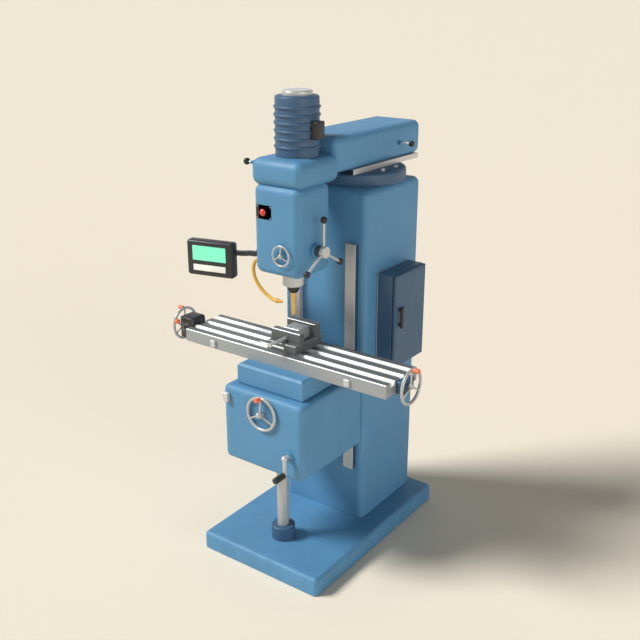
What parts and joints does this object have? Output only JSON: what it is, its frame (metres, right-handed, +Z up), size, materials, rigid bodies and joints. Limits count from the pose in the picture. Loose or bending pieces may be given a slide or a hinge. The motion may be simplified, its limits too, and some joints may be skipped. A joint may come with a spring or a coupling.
{
  "type": "vertical milling machine",
  "caption": "Knee-type vertical milling machine with turret, ram, tilting head, slotted table with vise, handwheels, side cabinet and swing-arm readout.",
  "frame": {"origin": "middle of the base's underside, on the floor", "axes": "+Z up, +X to the operator's right along the table, -Y towards the operator at the front"},
  "size_m": [1.306, 1.1183, 2.043],
  "materials": {
    "blue_paint": "satin",
    "dark_paint": "satin",
    "ground_steel": "ground",
    "table_iron": "ground",
    "vise_iron": "satin",
    "block_alloy": "machined",
    "bright_steel": "polished",
    "black_steel": "satin",
    "black_plastic": "matt",
    "orange_plastic": "gloss",
    "red_plastic": "gloss",
    "gold_coating": "polished",
    "yellow_hose": "satin",
    "cap_alloy": "cast",
    "screen": "lit",
    "key_strip": "matt"
  },
  "bodies": {
    "frame": {"base": "blue_paint", "column": "blue_paint", "column_ways": "ground_steel", "post_collar": "dark_paint", "elevating_post": "ground_steel", "cabinet_box": "dark_paint", "cabinet_hinges": "ground_steel"},
    "door": {"cabinet_door": "dark_paint", "cabinet_handle": "black_plastic"},
    "turret": {"turret_ring": "dark_paint", "turret_bolts": "bright_steel"},
    "ram": {"ram": "blue_paint", "ram_slideway": "ground_steel"},
    "ram_lock": {"ram_lock_lever": "black_steel"},
    "head": {"gear_housing": "blue_paint", "head_casting": "blue_paint", "motor_body": "dark_paint", "motor_cap": "cap_alloy", "terminal_box": "black_plastic", "switch_plate": "black_plastic", "hose_fittings": "ground_steel", "coolant_hose": "yellow_hose", "readout_bracket": "black_plastic"},
    "brake": {"brake_lever": "black_steel"},
    "button": {"push_button": "red_plastic"},
    "rotor": {"motor_rotor": "ground_steel"},
    "sleeve": {"drive_sleeve": "ground_steel"},
    "quill": {"quill": "ground_steel"},
    "spindle": {"spindle": "ground_steel", "collet_nut": "black_steel", "end_mill": "gold_coating"},
    "feed_hub": {"feed_levers": "bright_steel", "feed_lever_balls": "black_plastic"},
    "fine_wheel": {"fine_feed_wheel": "bright_steel"},
    "swing_arm": {"readout_arm": "black_plastic"},
    "readout": {"readout_case": "black_plastic", "readout_screen": "screen", "readout_keys": "key_strip"},
    "knee": {"knee": "blue_paint", "knee_clamp": "ground_steel"},
    "lift_screw": {"elevating_screw": "ground_steel"},
    "crank": {"elevating_crank": "bright_steel"},
    "crank_handle": {"crank_grip": "black_plastic"},
    "cross_drive": {"cross_feed_wheel": "bright_steel"},
    "cross_handle": {"cross_feed_grip": "orange_plastic"},
    "saddle": {"saddle": "blue_paint"},
    "table": {"table": "table_iron", "power_feed": "black_plastic", "screw_bracket": "dark_paint", "stop_dogs": "ground_steel", "vise_base": "vise_iron", "work_block": "block_alloy"},
    "trip": {"feed_trip_lever": "orange_plastic"},
    "table_drive": {"table_screw": "ground_steel", "table_wheels": "bright_steel"},
    "left_handle": {"left_wheel_grip": "orange_plastic"},
    "right_handle": {"right_wheel_grip": "orange_plastic"},
    "jaw": {"vise_jaw": "vise_iron"},
    "jaw_screw": {"vise_screw": "ground_steel"},
    "jaw_bar": {"vise_bar": "bright_steel"}
  },
  "joints": [
    {"name": "cabinet_door_hinge", "type": "hinge", "parent": "frame", "child": "door", "pos_m": [0.3, 0.355, 1], "axis": [0, 0, 1], "range_deg": [0, 110]},
    {"name": "turret_swivel", "type": "hinge", "parent": "frame", "child": "turret", "pos_m": [0, 0.25, 1.668], "axis": [0, 0, 1], "range_deg": [-60, 60]},
    {"name": "ram_slide", "type": "slide", "parent": "turret", "child": "ram", "axis": [0, -1, 0], "range_m": [-0.03, 0.15]},
    {"name": "ram_lock_turn", "type": "hinge", "parent": "ram", "child": "ram_lock", "pos_m": [0.134, 0.395, 1.786], "axis": [0, 1, 0], "range_deg": [-25, 25]},
    {"name": "head_tilt", "type": "hinge", "parent": "ram", "child": "head", "pos_m": [0, -0.084, 1.757], "axis": [0, 1, 0], "range_deg": [-30, 45]},
    {"name": "spindle_brake", "type": "hinge", "parent": "head", "child": "brake", "pos_m": [-0.136, -0.297, 1.77304], "axis": [0, 1, 0], "range_deg": [-25, 25]},
    {"name": "stop_button", "type": "slide", "parent": "head", "child": "button", "axis": [0, 1, 0], "range_m": [0, 0.003], "stiffness_N_per_m": 400},
    {"name": "motor_turn", "type": "hinge", "parent": "head", "child": "rotor", "pos_m": [0, -0.18, 1.9], "axis": [0, 0, 1], "continuous": true},
    {"name": "sleeve_turn", "type": "hinge", "parent": "head", "child": "sleeve", "pos_m": [0, -0.216, 1.7], "axis": [0, 0, 1], "continuous": true},
    {"name": "quill_feed", "type": "slide", "parent": "head", "child": "quill", "axis": [0, 0, 1], "range_m": [-0.045, 0]},
    {"name": "spindle_turn", "type": "hinge", "parent": "quill", "child": "spindle", "pos_m": [0, -0.216, 1.3], "axis": [0, 0, 1], "continuous": true},
    {"name": "feed_lever_turn", "type": "hinge", "parent": "head", "child": "feed_hub", "pos_m": [0.165, -0.228, 1.433], "axis": [1, 0, 0], "range_deg": [0, 235]},
    {"name": "fine_feed_turn", "type": "hinge", "parent": "head", "child": "fine_wheel", "pos_m": [0.036, -0.344, 1.421], "axis": [0, 1, 0], "range_deg": [0, 811]},
    {"name": "readout_swing", "type": "hinge", "parent": "head", "child": "swing_arm", "pos_m": [-0.143, -0.225, 1.389], "axis": [0, 0, 1], "range_deg": [-40, 45]},
    {"name": "readout_tilt", "type": "hinge", "parent": "swing_arm", "child": "readout", "pos_m": [-0.41808, -0.21962, 1.329], "axis": [0.9703, 0.2419, 0], "range_deg": [-15, 15]},
    {"name": "knee_lift", "type": "slide", "parent": "frame", "child": "knee", "axis": [0, 0, 1], "range_m": [-0.2, 0.045]},
    {"name": "lift_screw_turn", "type": "hinge", "parent": "knee", "child": "lift_screw", "pos_m": [0, -0.31, 0.6], "axis": [0, 0, 1], "range_deg": [-14400, 3240]},
    {"name": "crank_turn", "type": "hinge", "parent": "knee", "child": "crank", "pos_m": [0.14, -0.47, 0.596], "axis": [0, 1, 0], "range_deg": [-14400, 3240]},
    {"name": "crank_handle_turn", "type": "hinge", "parent": "crank", "child": "crank_handle", "pos_m": [0.14, -0.51, 0.521], "axis": [0, 1, 0], "continuous": true},
    {"name": "cross_wheel_turn", "type": "hinge", "parent": "knee", "child": "cross_drive", "pos_m": [0, -0.447, 0.752], "axis": [0, 1, 0], "range_deg": [-3960, 5040]},
    {"name": "cross_handle_turn", "type": "hinge", "parent": "cross_drive", "child": "cross_handle", "pos_m": [0, -0.46, 0.8245], "axis": [0, 1, 0], "continuous": true},
    {"name": "saddle_cross", "type": "slide", "parent": "knee", "child": "saddle", "axis": [0, 1, 0], "range_m": [-0.055, 0.07]},
    {"name": "table_feed", "type": "slide", "parent": "saddle", "child": "table", "axis": [1, 0, 0], "range_m": [-0.3, 0.3]},
    {"name": "trip_lever_turn", "type": "hinge", "parent": "table", "child": "trip", "pos_m": [-0.5835, -0.285, 0.958], "axis": [0, 1, 0], "range_deg": [-25, 25]},
    {"name": "table_wheel_turn", "type": "hinge", "parent": "table", "child": "table_drive", "pos_m": [0, -0.208, 0.946], "axis": [1, 0, 0], "range_deg": [-21600, 21600]},
    {"name": "left_handle_turn", "type": "hinge", "parent": "table_drive", "child": "left_handle", "pos_m": [-0.67, -0.208, 1.0185], "axis": [1, 0, 0], "continuous": true},
    {"name": "right_handle_turn", "type": "hinge", "parent": "table_drive", "child": "right_handle", "pos_m": [0.59, -0.208, 1.0185], "axis": [1, 0, 0], "continuous": true},
    {"name": "jaw_slide", "type": "slide", "parent": "table", "child": "jaw", "axis": [0, 1, 0], "range_m": [-0.02, 0]},
    {"name": "jaw_screw_turn", "type": "hinge", "parent": "jaw", "child": "jaw_screw", "pos_m": [-0.01, -0.361, 1.0345], "axis": [0, 1, 0], "range_deg": [-1800, 0]},
    {"name": "jaw_bar_slide", "type": "slide", "parent": "jaw_screw", "child": "jaw_bar", "axis": [1, 0, 0], "range_m": [-0.045, 0.038]}
  ],
  "couplings": [
    {"joint": "sleeve_turn", "follows": "motor_turn", "ratio": -0.5},
    {"joint": "spindle_turn", "follows": "motor_turn", "ratio": -0.5},
    {"joint": "feed_lever_turn", "follows": "quill_feed", "rad_per_m": -90.909},
    {"joint": "fine_feed_turn", "follows": "quill_feed", "rad_per_m": -314.16},
    {"joint": "crank_turn", "follows": "knee_lift", "rad_per_m": 1256.6},
    {"joint": "lift_screw_turn", "follows": "knee_lift", "rad_per_m": 1256.6},
    {"joint": "cross_wheel_turn", "follows": "saddle_cross", "rad_per_m": 1256.6},
    {"joint": "table_wheel_turn", "follows": "table_feed", "rad_per_m": 1256.6},
    {"joint": "jaw_screw_turn", "follows": "jaw_slide", "rad_per_m": 1570.8}
  ]
}
